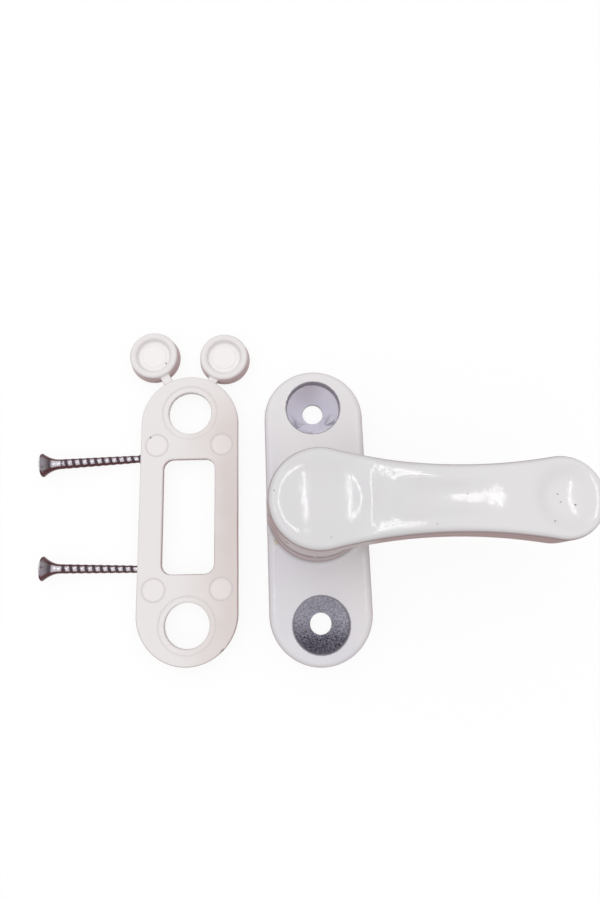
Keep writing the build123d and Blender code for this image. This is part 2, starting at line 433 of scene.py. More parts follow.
def bowlLevel(distance, radius, depth):
    ball = (radius ** 2 + depth ** 2) / (2 * depth)
    return ball - depth - np.sqrt(np.maximum(ball ** 2 - distance ** 2, 0))


def scoopFloor(x, shape):  # falls gently, then rises more and more steeply, and ends level with the top
    level, end = 0 * x, 0.0
    for (startX, startSlope), (endX, endSlope) in zip(shape["scoopSlopes"], shape["scoopSlopes"][1:]):
        run = np.clip(x - startX, 0, endX - startX)
        level = level + startSlope * run + (endSlope - startSlope) / (endX - startX) * run ** 2 / 2
        end += (startSlope + endSlope) / 2 * (endX - startX)
    lastX, lastSlope = shape["scoopSlopes"][-1]
    return level - end + lastSlope * np.maximum(x - lastX, 0)


def scoopSide(x, y, shape):  # distance out of the scoop's side edge, which turns out to the rim at the step
    cornerX, cornerY = shape["scoopCorner"]
    waistX, waistY = shape["scoopWaist"]
    flank = (waistY - cornerY) / (waistX - cornerX)
    spreadX, spread = shape["scoopSpread"]
    flare = shape["scoopFlare"]
    outward = (np.abs(y) - cornerY + flare * (x - cornerX)) / math.hypot(1, flare)
    inward = (np.abs(y) - cornerY - flank * (x - cornerX)) / math.hypot(1, flank)
    along = np.abs(y) - waistY - spread * np.maximum(x - spreadX, 0)
    blend = shape["scoopSideBend"]
    return softMin(softMin(outward, inward, blend), along, blend)


def scoopLevel(x, y, side, shape):
    (startX, start), (middleX, middle), (endX, end) = shape["hollow"]
    bend = start + (middle - start) * smooth(x, startX, middleX) + (end - middle) * smooth(x, middleX, endX)
    floor = scoopFloor(x, shape) + y * y / 2 * bend
    step = (shape["scoopStart"] - x) * shape["scoopStep"]
    level = softMax(floor, side * shape["scoopWall"], shape["scoopBend"])
    return softMax(level, step, shape["stepBend"])


def thumbLevel(x, y, shape):
    x = x - shape["thumbPlace"]
    floor = -shape["thumbDepth"] + shape["thumbTilt"] * x
    floor = floor + x * x / (2 * shape["thumbLong"]) + y * y / (2 * shape["thumbWide"])
    floor = floor - shape["thumbCurl"] * x * y * y
    long, wide = shape["thumbRadius"]
    wall = (np.hypot(x / long, y / wide) - 1) * wide * shape["thumbWall"]
    return softMax(floor, wall, shape["thumbBend"])


def leverRelief(x, y, shape):
    bowl = bowlLevel(np.hypot(x - shape["bowlPlace"], y), shape["bowlRadius"], shape["bowlDepth"])
    roll, change = shape["landRoll"]
    turn, phase = shape["landWave"]
    past = np.maximum(x - shape["landEnd"], 0)
    land = -past ** 2 / 2 / (roll + change * np.sin(turn * y + phase))
    land = softMax(land, 0 * x - shape["landDrop"], shape["landBend"])
    land = land * (1 - smooth(np.abs(y), *shape["landWide"]))
    relief = softMin(land, bowl, shape["bowlLip"])
    side = scoopSide(x, y, shape)
    past = np.maximum(side, 0)
    bent = np.minimum(past, shape["railSlope"] * shape["railRoll"])
    rail = bent ** 2 / (2 * shape["railRoll"]) + (past - bent) * shape["railSlope"]
    relief = relief - rail * smooth(x, *shape["railStart"]) * (1 - smooth(x, *shape["railEnd"]))
    startLip, endLip = shape["scoopLip"]
    lip = startLip + (endLip - startLip) * smooth(x, *shape["lipSpan"])
    relief = softMin(relief, scoopLevel(x, y, side, shape), lip)
    return softMin(relief, thumbLevel(x, y, shape), shape["thumbLip"])


def leverSkin(points):
    shape = leverSettings
    bottom, high = levels["leverBottom"], levels["leverTop"]
    x, y, z = ownFrame(points, (0, 0, 0), shape["turn"])
    outline = leverOutline(x, y, shape)
    share = np.clip((high - shape["edge"] - z) / (high - shape["edge"] - bottom), 0, 1)
    cone = np.hypot(x, y) - shape["headRadius"] - share * (shape["skirtRadius"] - shape["headRadius"])
    side = softMin(outline, cone, shape["skirtBlend"])
    top = z - high - leverRelief(x, y, shape)
    rise = high - shape["endHeight"] - bottom
    foot = bottom + np.maximum(x - shape["slopeStart"], 0) * rise / shape["slopeRun"]
    body = roundedMeet(side, top, shape["edge"])
    return roundedMeet(body, foot - z, shape["footEdge"])


def makeLever(shape):
    return skinPiece(copySolid("lever", "lever_casting"), leverSkin, shape, 3, 1.3, 0.6)


# Base plate: a die-cast plate with a tall boss and two deep countersinks
baseSettings = {
    "length": 75.0,  # mm
    "width": 25.6,
    "edge": 1.5,
    "crown": 1.9,  # width of the soft fall before the edge
    "crownRadius": 13.0,
    "backEdge": 0.4,
    "bossFoot": 12.2,
    "bossHead": 11.55,
    "bossFillet": 1.4,
    "bossEdge": 0.5,
    "seatRadius": 9.55,
    "seatDepth": 0.8,
    "holeY": 27.4,
    "holeRadius": 2.7,
    "recessRadius": 6.9,
    "recessDepth": 2.5,
    "recessEdge": 0.3,
    "coneEdge": 0.1,
    "holeEdge": 0.15,
    "sideEdge": 0.25,  # where the boss comes through the plate's side
    "seatEdge": 0.1,
    "voxel": 0.33,
}


def wellDistance(x, y, z, shape):  # negative inside a countersink
    away = np.hypot(x, np.abs(y) - shape["holeY"])
    hole = away - shape["holeRadius"]
    floor = levels["plateTop"] - shape["recessDepth"]
    cone = (away - shape["recessRadius"] - (z - floor)) * math.sqrt(0.5)
    recess = roundedMeet(cone, away - shape["recessRadius"], shape["coneEdge"])
    return filletedJoin(hole, recess, shape["holeEdge"])


def baseSkin(points):
    shape = baseSettings
    x, y, z = points.T
    plateTop = levels["plateTop"]
    bossTop = levels["bossTop"]
    outline = slotDistance(x, y, shape["length"], shape["width"])
    crown = np.maximum(outline + shape["crown"], 0) ** 2 / (2 * shape["crownRadius"])
    slab = roundedMeet(outline, z - plateTop + crown, shape["edge"])
    share = np.clip((z - plateTop) / (bossTop - plateTop), 0, 1)
    wall = np.hypot(x, y) - shape["bossFoot"] + share * (shape["bossFoot"] - shape["bossHead"])
    seat = np.maximum(np.hypot(x, y) - shape["seatRadius"], bossTop - shape["seatDepth"] - z)
    boss = roundedMeet(wall, z - bossTop, shape["bossEdge"])
    body = filletedJoin(slab, boss, shape["bossFillet"])
    body = roundedMeet(body, outline, shape["sideEdge"])
    body = roundedMeet(body, -z, shape["backEdge"])
    body = roundedMeet(body, -wellDistance(x, y, z, shape), shape["recessEdge"])
    return roundedMeet(body, -seat, shape["seatEdge"])


def makeBase(shape):
    return skinPiece(copySolid("base_plate", "base_casting"), baseSkin, shape, 3, 0.45)


# Spacer: one moulding with two holes, a window, four pegs beneath and two screw caps on sprues
spacerSettings = {
    "place": (-33.0, 0.8, 0.0),  # mm
    "turn": -0.8,  # degrees
    "length": 74.6,
    "width": 25.5,
    "thickness": 2.0,
    "pegHeight": 2.5,
    "edge": 0.35,
    "backEdge": 0.2,
    "holeY": 27.4,
    "holeRadius": 5.65,
    "holeEdge": 0.15,
    "ledgeRadius": 7.15,
    "ledgeDepth": 0.35,
    "ledgeEdge": 0.3,
    "windowLength": 29.6,
    "windowWidth": 13.4,
    "windowCorner": 2.6,
    "pegRadius": 2.85,
    "pegEdge": 0.4,
    "pegRoot": 0.5,  # how far a peg reaches up into the plate
    "pegRootEdge": 0.1,
    "pegFillet": 0.2,
    "pegX": 8.5,
    "pegY": 18.6,
    "capPlaces": ((-10.0, 43.59), (9.0, 42.8)),
    "capBase": 1.0,
    "capHeight": 3.9,
    "capFoot": 6.85,
    "capRim": 6.35,
    "capEdge": 0.6,
    "cupRadius": 4.7,
    "cupDepth": 1.35,
    "cupTaper": 0.3,
    "cupFillet": 0.4,
    "cupEdge": 0.5,
    "discRadius": 3.15,
    "discHeight": 0.32,
    "discRise": 0.25,  # half the width of the disc's sloping edge
    "sprueWidth": 2.6,
    "sprueHeight": 1.4,
    "sprueEdge": 0.4,
    "sprueBite": 0.6,  # how far a sprue reaches into what it joins
    "sprueFillet": 0.3,
    "voxel": 0.25,
}


def capSkin(x, y, z, shape):
    away = np.hypot(x, y)
    low = shape["capBase"]
    high = low + shape["capHeight"]
    share = np.clip((z - low) / shape["capHeight"], 0, 1)
    wall = away - shape["capFoot"] + share * (shape["capFoot"] - shape["capRim"])
    body = roundedMeet(roundedMeet(wall, z - high, shape["capEdge"]), low - z, shape["capEdge"])
    step = 1 - smooth(away - shape["discRadius"], -shape["discRise"], shape["discRise"])
    floor = high - shape["cupDepth"] + shape["discHeight"] * step
    side = away - shape["cupRadius"] - shape["cupTaper"] * (z - high)
    return roundedMeet(body, -roundedMeet(side, floor - z, shape["cupFillet"]), shape["cupEdge"])


def sprueSkin(x, y, z, capX, capY, shape):
    endY = (shape["length"] - shape["width"]) / 2
    span = math.hypot(capX, capY - endY)
    alongX, alongY = capX / span, (capY - endY) / span
    along = x * alongX + (y - endY) * alongY
    across = np.abs(x * alongY - (y - endY) * alongX) - shape["sprueWidth"] / 2
    high = np.abs(z - shape["pegHeight"] - shape["sprueHeight"] / 2) - shape["sprueHeight"] / 2
    ends = np.maximum(shape["width"] / 2 - along, along - span + shape["capRim"]) - shape["sprueBite"]
    return np.maximum(roundedMeet(across, high, shape["sprueEdge"]), ends)


def spacerSkin(points):
    shape = spacerSettings
    x, y, z = ownFrame(points, shape["place"], shape["turn"])
    low = shape["pegHeight"]
    high = low + shape["thickness"]
    outline = slotDistance(x, y, shape["length"], shape["width"])
    slab = roundedMeet(roundedMeet(outline, z - high, shape["edge"]), low - z, shape["backEdge"])
    fillet = shape["sprueFillet"]
    for capX, capY in shape["capPlaces"]:
        sprue = sprueSkin(x, y, z, capX, capY, shape)
        cap = capSkin(x - capX, y - capY, z, shape)
        slab = filletedJoin(slab, filletedJoin(sprue, cap, fillet), fillet)
    away = np.hypot(x, np.abs(y) - shape["holeY"])
    slab = roundedMeet(slab, shape["holeRadius"] - away, shape["holeEdge"])
    ledge = roundedMeet(away - shape["ledgeRadius"], high - shape["ledgeDepth"] - z, shape["ledgeEdge"])
    slab = roundedMeet(slab, -ledge, shape["ledgeEdge"])
    cornerX = np.abs(x) - shape["windowWidth"] / 2 + shape["windowCorner"]
    cornerY = np.abs(y) - shape["windowLength"] / 2 + shape["windowCorner"]
    window = np.hypot(np.maximum(cornerX, 0), np.maximum(cornerY, 0))
    window = window + np.minimum(np.maximum(cornerX, cornerY), 0) - shape["windowCorner"]
    slab = roundedMeet(slab, -window, shape["edge"])
    peg = np.hypot(np.abs(x) - shape["pegX"], np.abs(y) - shape["pegY"]) - shape["pegRadius"]
    peg = roundedMeet(roundedMeet(peg, -z, shape["pegEdge"]), z - low - shape["pegRoot"], shape["pegRootEdge"])
    return filletedJoin(slab, peg, shape["pegFillet"])


def makeSpacer(shape):
    return skinPiece(copySolid("spacer", "spacer_moulding"), spacerSkin, shape, 2, 1.1, 0.6)


# Screws: countersunk, with a coarse low thread on a shank that thins towards the drill point
screwSettings = {
    "length": 28.0,  # mm
    "headRadius": 3.1,
    "headRim": 0.5,
    "headEdge": 0.35,
    "bugleEnd": 5.0,
    "bugleRadius": 6.81,
    "shankStart": 1.4,  # radius at the head
    "shankBlend": (1.0, 4.5),  # mm back from the bugle's end, where the shank takes on that radius
    "threadFrom": 5.2,
    "threadTo": 24.2,
    "threadFade": (1.5, 1.2),  # length of its run-in and its run-out
    "pitch": 1.9,
    "ridgeHeight": 0.05,
    "neckRadius": 0.95,
    "neckTo": 25.3,
    "pointRadius": 1.15,
    "pointLength": 3.5,
    "threadShine": (-0.5, 0.3),  # painted highlight on the ground between the threads
    "neckShine": ((2.4, 3.2), (4.9, 5.4)),  # mm from the head's face, painted highlight on the neck
    # painted highlights on the head's face and its rim
    "headShine": (0.8, 2.6),
    "rimShine": (0.25, 0.5),
    "voxel": 0.12,
    "screws": {  # place of the head, turn, shank radius at the head and at the point, phase of the thread
        "fixing_screw_1": ((-71.7, 15.5), 2.7, (1.3, 1.0), 0.2),
        "fixing_screw_2": ((-70.5, -11.3), -2.1, (1.18, 0.92), 0.75),
    },
}


def screwAxis(place, turn, shape):  # the screw lies on its head's rim and the end of its thread
    shoulder = shape["shankStart"] - shape["neckRadius"]
    run = shape["length"] - shape["pointLength"] - shoulder - shape["headRim"]
    lean = math.atan((shape["headRadius"] - shape["shankStart"]) / run)
    height = shape["headRim"] * math.sin(lean) + shape["headRadius"] * math.cos(lean)
    axis = Euler((0, lean, 0)).to_matrix()
    axis = Matrix.Rotation(math.radians(turn), 3, "Z") @ axis
    return np.array([place[0], place[1], height]), np.array(axis)


def screwProfile(x, shank, shape):
    first, last = shank
    share = np.clip((x - shape["bugleEnd"]) / (shape["threadTo"] - shape["bugleEnd"]), 0, 1)
    radius = first + (last - first) * share
    back = np.clip(shape["bugleEnd"] - x, 0, shape["bugleEnd"] - shape["headRim"])
    radius = radius + shape["bugleRadius"] - np.sqrt(shape["bugleRadius"] ** 2 - back ** 2)
    radius = radius + (shape["shankStart"] - first) * smooth(back, *shape["shankBlend"])
    neck = np.maximum(shape["neckRadius"], np.where(x > shape["neckTo"], shape["pointRadius"], 0))
    radius = np.where(x > shape["threadTo"], neck, radius)
    return np.minimum(radius, np.maximum(shape["length"] - x, 0) + 0.02)


def makeScrew(name, place, turn, shank, phase, shape):
    centre, axis = screwAxis(place, turn, shape)

    def threadWave(points):  # where a point is along the screw, and 1 on a thread's crest, -1 between two
        x, y, z = ((points - centre) @ axis).T
        turned = np.arctan2(z, y) / (2 * math.pi)
        return x, np.hypot(y, z), np.cos(2 * math.pi * (x / shape["pitch"] - turned - phase))

    def screwSkin(points):
        x, away, wave = threadWave(points)
        runIn, runOut = shape["threadFade"]
        share = smooth(x, shape["threadFrom"], shape["threadFrom"] + runIn)
        share = share * (1 - smooth(x, shape["threadTo"] - runOut, shape["threadTo"]))
        radius = screwProfile(x, shank, shape) + shape["ridgeHeight"] * share * wave
        return roundedMeet(away - radius, -x, shape["headEdge"])

    piece = skinPiece(copySolid(name, name + "_threaded"), screwSkin, shape, 2, 0.6)
    # the attribute bright holds painted highlights: between the threads, on the neck, the head's face and its rim
    x, away, wave = threadWave(readPoints(piece))
    neckStart, neckEnd = shape["neckShine"]
    bright = smooth(-wave, *shape["threadShine"]) * smooth(x, shape["threadFrom"], shape["threadFrom"] + 1)
    bright = np.maximum(bright, smooth(x, *neckStart) * (1 - smooth(x, *neckEnd)))
    bright = np.maximum(bright, 0.4 - 0.4 * smooth(x, *shape["headShine"]))
    bright = np.maximum(bright, 1 - smooth(x, *shape["rimShine"]))
    worn = piece.data.attributes.new("bright", "FLOAT", "POINT")
    worn.data.foreach_set("value", bright)
    return piece


# Materials. Enamel: wet-looking stove enamel, sprayed and baked on rough die-cast zinc. It gives
# mirror streaks that wander over a fine orange peel, a few pinholes and duller sides. Its colour
# also holds painted light and shade: a lighter run along the piece, painted shade and reddish
# reflection on the edges and walls, and lines of painted shade in the gaps around the pivot.
enamelSettings = {
    "color": "#DBDBDC",
    "hazeColor": "#DAD7D9",  # faint clouding of the white
    "hazeSize": 9.0,  # mm
    "hazeSpan": (0.4, 0.62),
    "drift": ((12.0, 0.0), (40.0, 0.0)),  # mm, the enamel is painted lighter from here to there
    "driftColor": "#E1DFE0",
    "edgeShadeColor": "#A59194",  # painted shade and reddish reflection where the edges turn down
    "sideColor": "#F2ECED",  # the upright wall in front of the boss, painted lighter and pink: painted light and reddish reflection
    "armShadeColor": "#CDB5B4",  # and elsewhere, painted brown-red: painted shade and reddish reflection
    "frontPlace": 1.5,
    "frontSpan": (8.5, 11.5),  # mm out from there, that wall's color gives way to the other
    "edgeFacing": (0.75, 0.3),  # how far the surface faces up, from plain top to full edge
    "sideFacing": (0.6, 0.1),
    "wallFacing": (0.25, 0.08),
    "roughness": 0.1,
    "sideRoughness": 0.5,
    "gloss": 0.5,
    "sideGloss": 0.12,
    # painted shade in the gaps and at the foot around the pivot
    "creaseShadeColor": "#6E5E64",
    "creaseShadeReach": (13.2, 12.6),  # mm around the pivot
    "markRagged": 0.4,  # mm, how finely a mark's outline breaks up
    "peelSize": 1.5,  # mm between the swells of the orange peel
    "peelHeight": 0.016,
    "fineSize": 0.5,
    "fineHeight": 0.0022,
    "runSize": 1.3,  # coarser ripple where the enamel ran thick
    "runHeight": 0.03,
}

leverRuns = {  # those places: centre and half-axes, mm
    "scoop": ((35.0, -0.9), (9.0, 4.5)),
    "upper corner": ((14.4, 5.3), (2.6, 1.8)),
    "lower corner": ((14.2, -6.2), (2.6, 1.4)),
}

leverMarks = {  # pinholes and dirt: place in mm, seen from above where it has no height, radius, color
    "edge pit": ((-9.7, 1.9), 0.24, "#9A8C8E"),
    "rim speck": ((2.0, -8.4), 0.22, "#B5ACAE"),
    "arm speck": ((24.3, -6.4), 0.24, "#B8AEB0"),
    "scoop speck": ((31.4, -0.2), 0.34, "#B5B1B3"),
    "thumb speck": ((50.9, -0.8), 0.22, "#9B9194"),
    "thumb speck two": ((51.3, -2.5), 0.24, "#A1989B"),
    "thumb pit": ((54.2, -3.3), 0.27, "#5E5456"),
    "thumb stain": ((49.3, -6.6), 0.34, "#B3A79F"),
    "skirt pit": ((-7.5, -8.75, 28.0), 0.9, "#4A4044"),
}

leverCreaseShade = {  # lines of painted shade in the gaps around the pivot: height, spread, share
    "under the head": (levels["leverBottom"] + 0.2, 1.0, 0.7),
}

plateTints = {  # what differs on the base plate
    "color": "#E0DEE2",
    "hazeColor": "#DEDBE1",
    # painted light: the plate is lighter towards the right, where more light falls on it
    "drift": ((-10.0, 2.0), (0.0, 6.0)),
    "driftColor": "#E7E4E6",
    # edges and walls of the plate: painted shade and reddish reflection
    "edgeShadeColor": "#D2C2C4",
    "sideColor": "#DFD0D2",
    "armShadeColor": "#D8C8C9",
}

plateMarks = {
    "boss stain": ((-10.1, -6.8, 8.4), 1.3, "#CFC3AE"),
}

# lines of painted shade on the boss below the lever and at its foot: height, spread, share
plateCreaseShade = {
    "below the lever": (levels["bossTop"] - 2.6, 3.4, 0.45),
    "around the foot": (levels["plateTop"] + 1.9, 2.4, 0.3),
}


def enamelCoat(name, settings, marks, runs, creaseShade):
    material, place, facing = newSurface(name)
    x, y, z = split(material, place)
    up = split(material, facing)[2]
    upright = ramp(material, up, *settings["sideFacing"], curve="SMOOTHSTEP")
    haze = ramp(material, noise(material, place, settings["hazeSize"], 3.0), *settings["hazeSpan"])
    color = blend(material, haze, settings["color"], settings["hazeColor"])
    flat = vectorMath(material, "MULTIPLY", place, (1, 1, 0)).outputs["Vector"]
    # lighter along the drift; on the plate this is painted light
    start, end = np.array(settings["drift"])
    run = end - start
    drift = vectorMath(material, "SUBTRACT", flat, (*start, 0)).outputs["Vector"]
    drift = vectorMath(material, "DOT_PRODUCT", drift, (*run, 0)).outputs["Value"]
    drift = ramp(material, drift, 0, run @ run, curve="SMOOTHSTEP")
    color = blend(material, drift, color, settings["driftColor"])
    # painted shade and reddish reflection as the surface turns from top to edge
    edge = ramp(material, up, *settings["edgeFacing"], curve="SMOOTHSTEP")
    color = blend(material, edge, color, settings["edgeShadeColor"])
    # walls: painted light and reddish reflection in front of the boss, painted shade and reddish reflection
    # elsewhere
    armShadeShare = ramp(material, gap(material, x, settings["frontPlace"]), *settings["frontSpan"])
    wallShadeColor = blend(material, armShadeShare, settings["sideColor"], settings["armShadeColor"])
    color = blend(material, ramp(material, up, *settings["wallFacing"]), color, wallShadeColor)
    ragged = noise(material, place, settings["markRagged"])
    for (markX, markY, *height), radius, tint in marks.values():
        seen, level = (place, height[0]) if height else (flat, 0)
        away = vectorMath(material, "DISTANCE", seen, (markX, markY, level)).outputs["Value"]
        away = calc(material, "MULTIPLY_ADD", ragged, radius, away)
        color = blend(material, ramp(material, away, 1.5 * radius, 0.9 * radius), color, tint)
    # lines of painted shade in the gaps and at the foot, near the pivot
    near = vectorMath(material, "LENGTH", flat).outputs["Value"]
    near = ramp(material, near, *settings["creaseShadeReach"])
    for level, spread, share in creaseShade.values():
        line = ramp(material, gap(material, z, level), spread, 0.4 * spread, 0, share)
        color = blend(material, calc(material, "MULTIPLY", line, near), color, settings["creaseShadeColor"])
    normal = bumped(material, noise(material, place, settings["fineSize"], 1.0), settings["fineHeight"])
    normal = bumped(material, noise(material, place, settings["peelSize"], 1.0), settings["peelHeight"], normal)
    ripple = noise(material, place, settings["runSize"])
    for (runX, runY), (long, wide) in runs.values():
        patch = addNode(material, "Mapping", {"Vector": flat, "Location": (runX, runY, 0),
                                              "Scale": (long, wide, 1)}, vector_type="TEXTURE")
        patch = vectorMath(material, "LENGTH", patch.outputs[0]).outputs["Value"]
        normal = bumped(material, ripple, settings["runHeight"], normal, ramp(material, patch, 1.0, 0.5))
    rough = ramp(material, upright, 0, 1, settings["roughness"], settings["sideRoughness"])
    gloss = ramp(material, upright, 0, 1, settings["gloss"], settings["sideGloss"])
    coat = {"Base Color": color, "Roughness": rough, "Specular IOR Level": gloss, "Normal": normal}
    return material, place, upright, coat


def enamel(name, settings, marks, runs, creaseShade):
    material, place, upright, coat = enamelCoat(name, settings, marks, runs, creaseShade)
    return finishSurface(material, coat)


# Bare zinc: cast and then countersunk metal that the enamel missed. It gives a grey sparkle of
# coarse grains, rougher in the lower hole, with painted shade: the lower hole darker, most of all
# towards its lower end, patches on the low side of the upper hole, and dark walls.
zincSettings = {
    # the lower hole is painted darker than the upper one: painted shade
    "upperColor": "#E9E6F0",
    "lowerColor": "#DDDBE6",
    "grainColor": "#A3A1AD",
    "lowShadeColor": "#918F9D",  # painted shade towards the lower end of the lower hole
    "lowShadeGrain": "#3E3D48",
    "lowShadeSpan": (-23.5, -29.0),  # mm along the plate
    "lowShadeWander": 5.0,
    # painted shade on the upright walls
    "wallShadeColor": "#A8A3AD",
    "rimColor": "#77727E",  # the ragged line where the enamel stops
    "rimRadius": 7.2,  # mm
    "rimSoft": 0.15,
    "rimHeight": (7.8, 7.6),
    "rimSpan": (0.24, 0.08, 0, 0.75),
    "rimRagged": 0.8,
    "rimWander": 0.35,
    # patches of painted shade on the low side of the upper hole
    "patchyShadeColor": "#8E929C",
    "patchyShadeSize": 3.0,
    "patchyShadeSpan": (0.5, 0.66, 0, 0.8),  # of the noise, and the share of patchy painted shade it stands for
    "patchyShadeFade": -3.0,
    "metal": 0.55,  # share of clean metal
    "grainSize": 0.45,  # mm
    "roughness": 0.42,
    "grainSpan": (0.58, 0.42),
    "grainHeight": 0.03,
}


def enamelWithWells(name, settings, zinc, holeY):
    material, place, upright, coat = enamelCoat(name, settings, plateMarks, {}, plateCreaseShade)
    x, y, z = split(material, place)
    side = calc(material, "SUBTRACT", calc(material, "ABSOLUTE", y), holeY)
    away = addNode(material, "CombineXYZ", {"X": x, "Y": side}).outputs[0]
    away = vectorMath(material, "LENGTH", away).outputs["Value"]
    away = calc(material, "MULTIPLY_ADD", noise(material, place, zinc["rimRagged"]), zinc["rimWander"], away)
    inside = ramp(material, away, zinc["rimRadius"], zinc["rimRadius"] - zinc["rimSoft"])
    bare = calc(material, "MULTIPLY", inside, ramp(material, z, *zinc["rimHeight"]))
    grain = noise(material, place, zinc["grainSize"], 4.0, 0.7)
    # painted shade: the lower hole, its grains and its lower end are darker
    lower = ramp(material, y, 1, -1)
    dark = calc(material, "MULTIPLY", ramp(material, grain, *zinc["grainSpan"]), lower)
    lowShade = calc(material, "MULTIPLY_ADD", grain, zinc["lowShadeWander"], y)
    lowShade = ramp(material, lowShade, *zinc["lowShadeSpan"])
    clean = blend(material, lowShade, zinc["lowerColor"], zinc["lowShadeColor"])
    speck = blend(material, lowShade, zinc["grainColor"], zinc["lowShadeGrain"])
    metal = blend(material, lower, zinc["upperColor"], clean)
    metal = blend(material, dark, metal, speck)
    # patches of painted shade on the low side of the upper hole
    patchyShade = noise(material, place, zinc["patchyShadeSize"], 5.0, 0.65, 0.6)
    patchyShade = ramp(material, patchyShade, *zinc["patchyShadeSpan"])
    lowSide = ramp(material, calc(material, "SUBTRACT", y, holeY), 0, zinc["patchyShadeFade"])
    patchyShade = calc(material, "MULTIPLY", patchyShade, lowSide)
    patchyShade = calc(material, "MULTIPLY", patchyShade, calc(material, "SUBTRACT", 1.0, lower))
    metal = blend(material, patchyShade, metal, zinc["patchyShadeColor"])
    # painted shade on the upright walls
    metal = blend(material, upright, metal, zinc["wallShadeColor"])
    color = blend(material, bare, coat["Base Color"], metal)
    rim = ramp(material, gap(material, away, zinc["rimRadius"]), *zinc["rimSpan"])
    color = blend(material, rim, color, zinc["rimColor"])
    rough = addNode(material, "Mix", {"Factor": bare, "A": coat["Roughness"], "B": zinc["roughness"]})
    pits = bumped(material, grain, zinc["grainHeight"])
    normal = addNode(material, "Mix", {"Factor": bare, "A": coat["Normal"], "B": pits}, data_type="VECTOR")
    return finishSurface(material, {
        **coat, "Base Color": color, "Roughness": rough.outputs["Result"], "Normal": normal.outputs["Result"],
        "Metallic": calc(material, "MULTIPLY", bare, zinc["metal"])})


# Plastic: polypropylene from one shot of a small mould. It gives a soft, slightly see-through
# white, a satin face and a few dark specks, with painted shade: a ring over each peg for the sink
# marks, the side towards the plate, the far edges, the walls and two burrs; and painted light in
# the middles of the sink marks.
plasticSettings = {
    "color": "#E9E4E4",
    "rightShadeColor": "#DCD3D0",  # painted shade, warmer, on the side towards the plate
    "rightShadeSpan": (2.0, 15.0),  # mm across the spacer
    "rightShadeWander": 9.0,
    "rightShadeFade": (37.0, 24.0),  # mm along it
    # painted shade and reddish reflection on the walls; the hole walls are left white
    "sideColor": "#D3BAB8",
    "boreColor": "#FFFFFF",
    "boreSpan": (8.0, 7.6),
    "capColor": "#F6F3F3",  # the thin middle of each cap lets more light through
    "capSpan": (4.4, 3.6, 0, 0.6),
    "edgeShadeColor": "#AE908D",  # painted shade on the edges on the far side from the light
    "edgeFacing": (0.92, 0.5),
    "sideFacing": (0.35, 0.0),
    "farSpan": -14.0,
    "hazeSize": 6.0,
    "roughness": (0.32, 0.48),
    "gloss": 0.5,
    "sideGloss": 0.15,
    "sheenBump": 0.6,  # mm between the swells of the moulded face
    "bumpHeight": 0.006,
    # a dark ring and a lighter middle over each peg: painted shade and light of the sink marks
    "sinkRadius": 2.9,
    "sinkSpan": (0.32, 0.1, 0, 0.7),
    "sinkShadeColor": "#CFC5C6",
    "sinkLightColor": "#F0EAEA",
    "middleSpan": (2.6, 2.3, 0, 0.45),
    "speckColor": "#7A6A6D",
    "specks": {  # place and radius, mm
        "cap speck": ((-39.2, 42.5), 0.32),
        "edge fleck": ((-42.9, 21.7), 0.32),
        # the two burrs are painted dark: painted shade
        "lower burr shade": ((-24.1, -33.3), 1.2),
        "upper burr shade": ((-22.2, -31.6), 1.2),
    },
}


